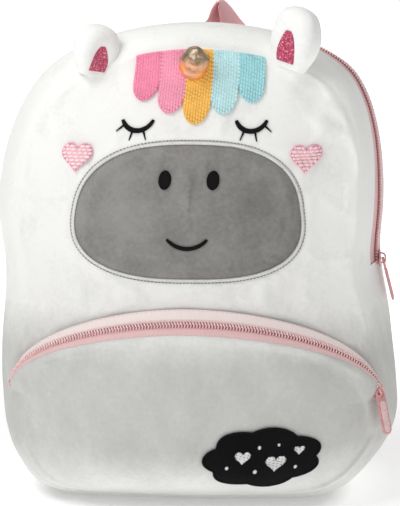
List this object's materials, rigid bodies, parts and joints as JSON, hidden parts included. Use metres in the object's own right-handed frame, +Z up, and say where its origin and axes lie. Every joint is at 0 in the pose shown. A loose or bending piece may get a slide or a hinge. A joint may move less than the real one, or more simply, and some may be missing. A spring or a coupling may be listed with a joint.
{
  "type": "plush animal backpack for a small child",
  "caption": "Plush unicorn toddler backpack with soft horn and ears, face applique, arched zips, front pocket, padded straps and hang loop",
  "frame": {"origin": "middle of the flat base that the bag stands on", "axes": "+Z up along the bag, -Y is the way the face looks, +X is the right of someone facing the face"},
  "size_m": [0.2637, 0.1781, 0.3229],
  "materials": {
    "plush_white": "short-pile white plush",
    "plush_grey": "short-pile grey plush",
    "back_cloth": "pale pink padded polyester",
    "black_felt": "black embroidery and felt",
    "zip_tape": "pink woven zip tape",
    "zip_coil": "pink nylon coil",
    "slider_metal": "rose lacquered zinc",
    "pull_pink": "pink enamelled pull",
    "webbing_pink": "pink webbing and padded cloth",
    "adjuster_pink": "moulded pink plastic",
    "glitter_pink": "deep pink glitter cloth",
    "horn_gold": "iridescent gold foil cloth",
    "thread_pink": "pink satin thread",
    "thread_honey": "honey yellow satin thread",
    "thread_teal": "teal satin thread"
  },
  "bodies": {
    "root": {"front_panel": "plush_white", "back_panel": "back_cloth", "gusset_front_strip": "plush_white", "gusset_rear_strip": "plush_white", "base_gusset": "plush_white", "main_zip_tape_front": "zip_tape", "main_zip_tape_rear": "zip_tape", "main_zip_coil": "zip_coil", "main_zip_slider": "slider_metal", "main_zip_pull": "pull_pink", "pocket_panel": "plush_white", "pocket_zip_tape_upper": "zip_tape", "pocket_zip_tape_lower": "zip_tape", "pocket_zip_coil": "zip_coil", "pocket_zip_slider": "slider_metal", "pocket_zip_pull": "pull_pink", "ear_left": "plush_white", "ear_right": "plush_white", "ear_lining_left": "glitter_pink", "ear_lining_right": "glitter_pink", "horn": "horn_gold", "handle": "webbing_pink", "shoulder_strap_left": "webbing_pink", "shoulder_strap_right": "webbing_pink", "strap_webbing_left": "webbing_pink", "strap_webbing_right": "webbing_pink", "strap_adjuster_left": "adjuster_pink", "strap_adjuster_right": "adjuster_pink", "strap_anchor_left": "webbing_pink", "strap_anchor_right": "webbing_pink", "muzzle": "plush_grey", "nostril_left": "black_felt", "nostril_right": "black_felt", "mouth": "black_felt", "eye_left": "black_felt", "eye_right": "black_felt", "cheek_left": "thread_pink", "cheek_right": "thread_pink", "forelock_1": "thread_pink", "forelock_2": "thread_pink", "forelock_3": "thread_honey", "forelock_4": "thread_teal", "forelock_5": "thread_teal", "pocket_cloud": "black_felt"}
  },
  "joints": []
}
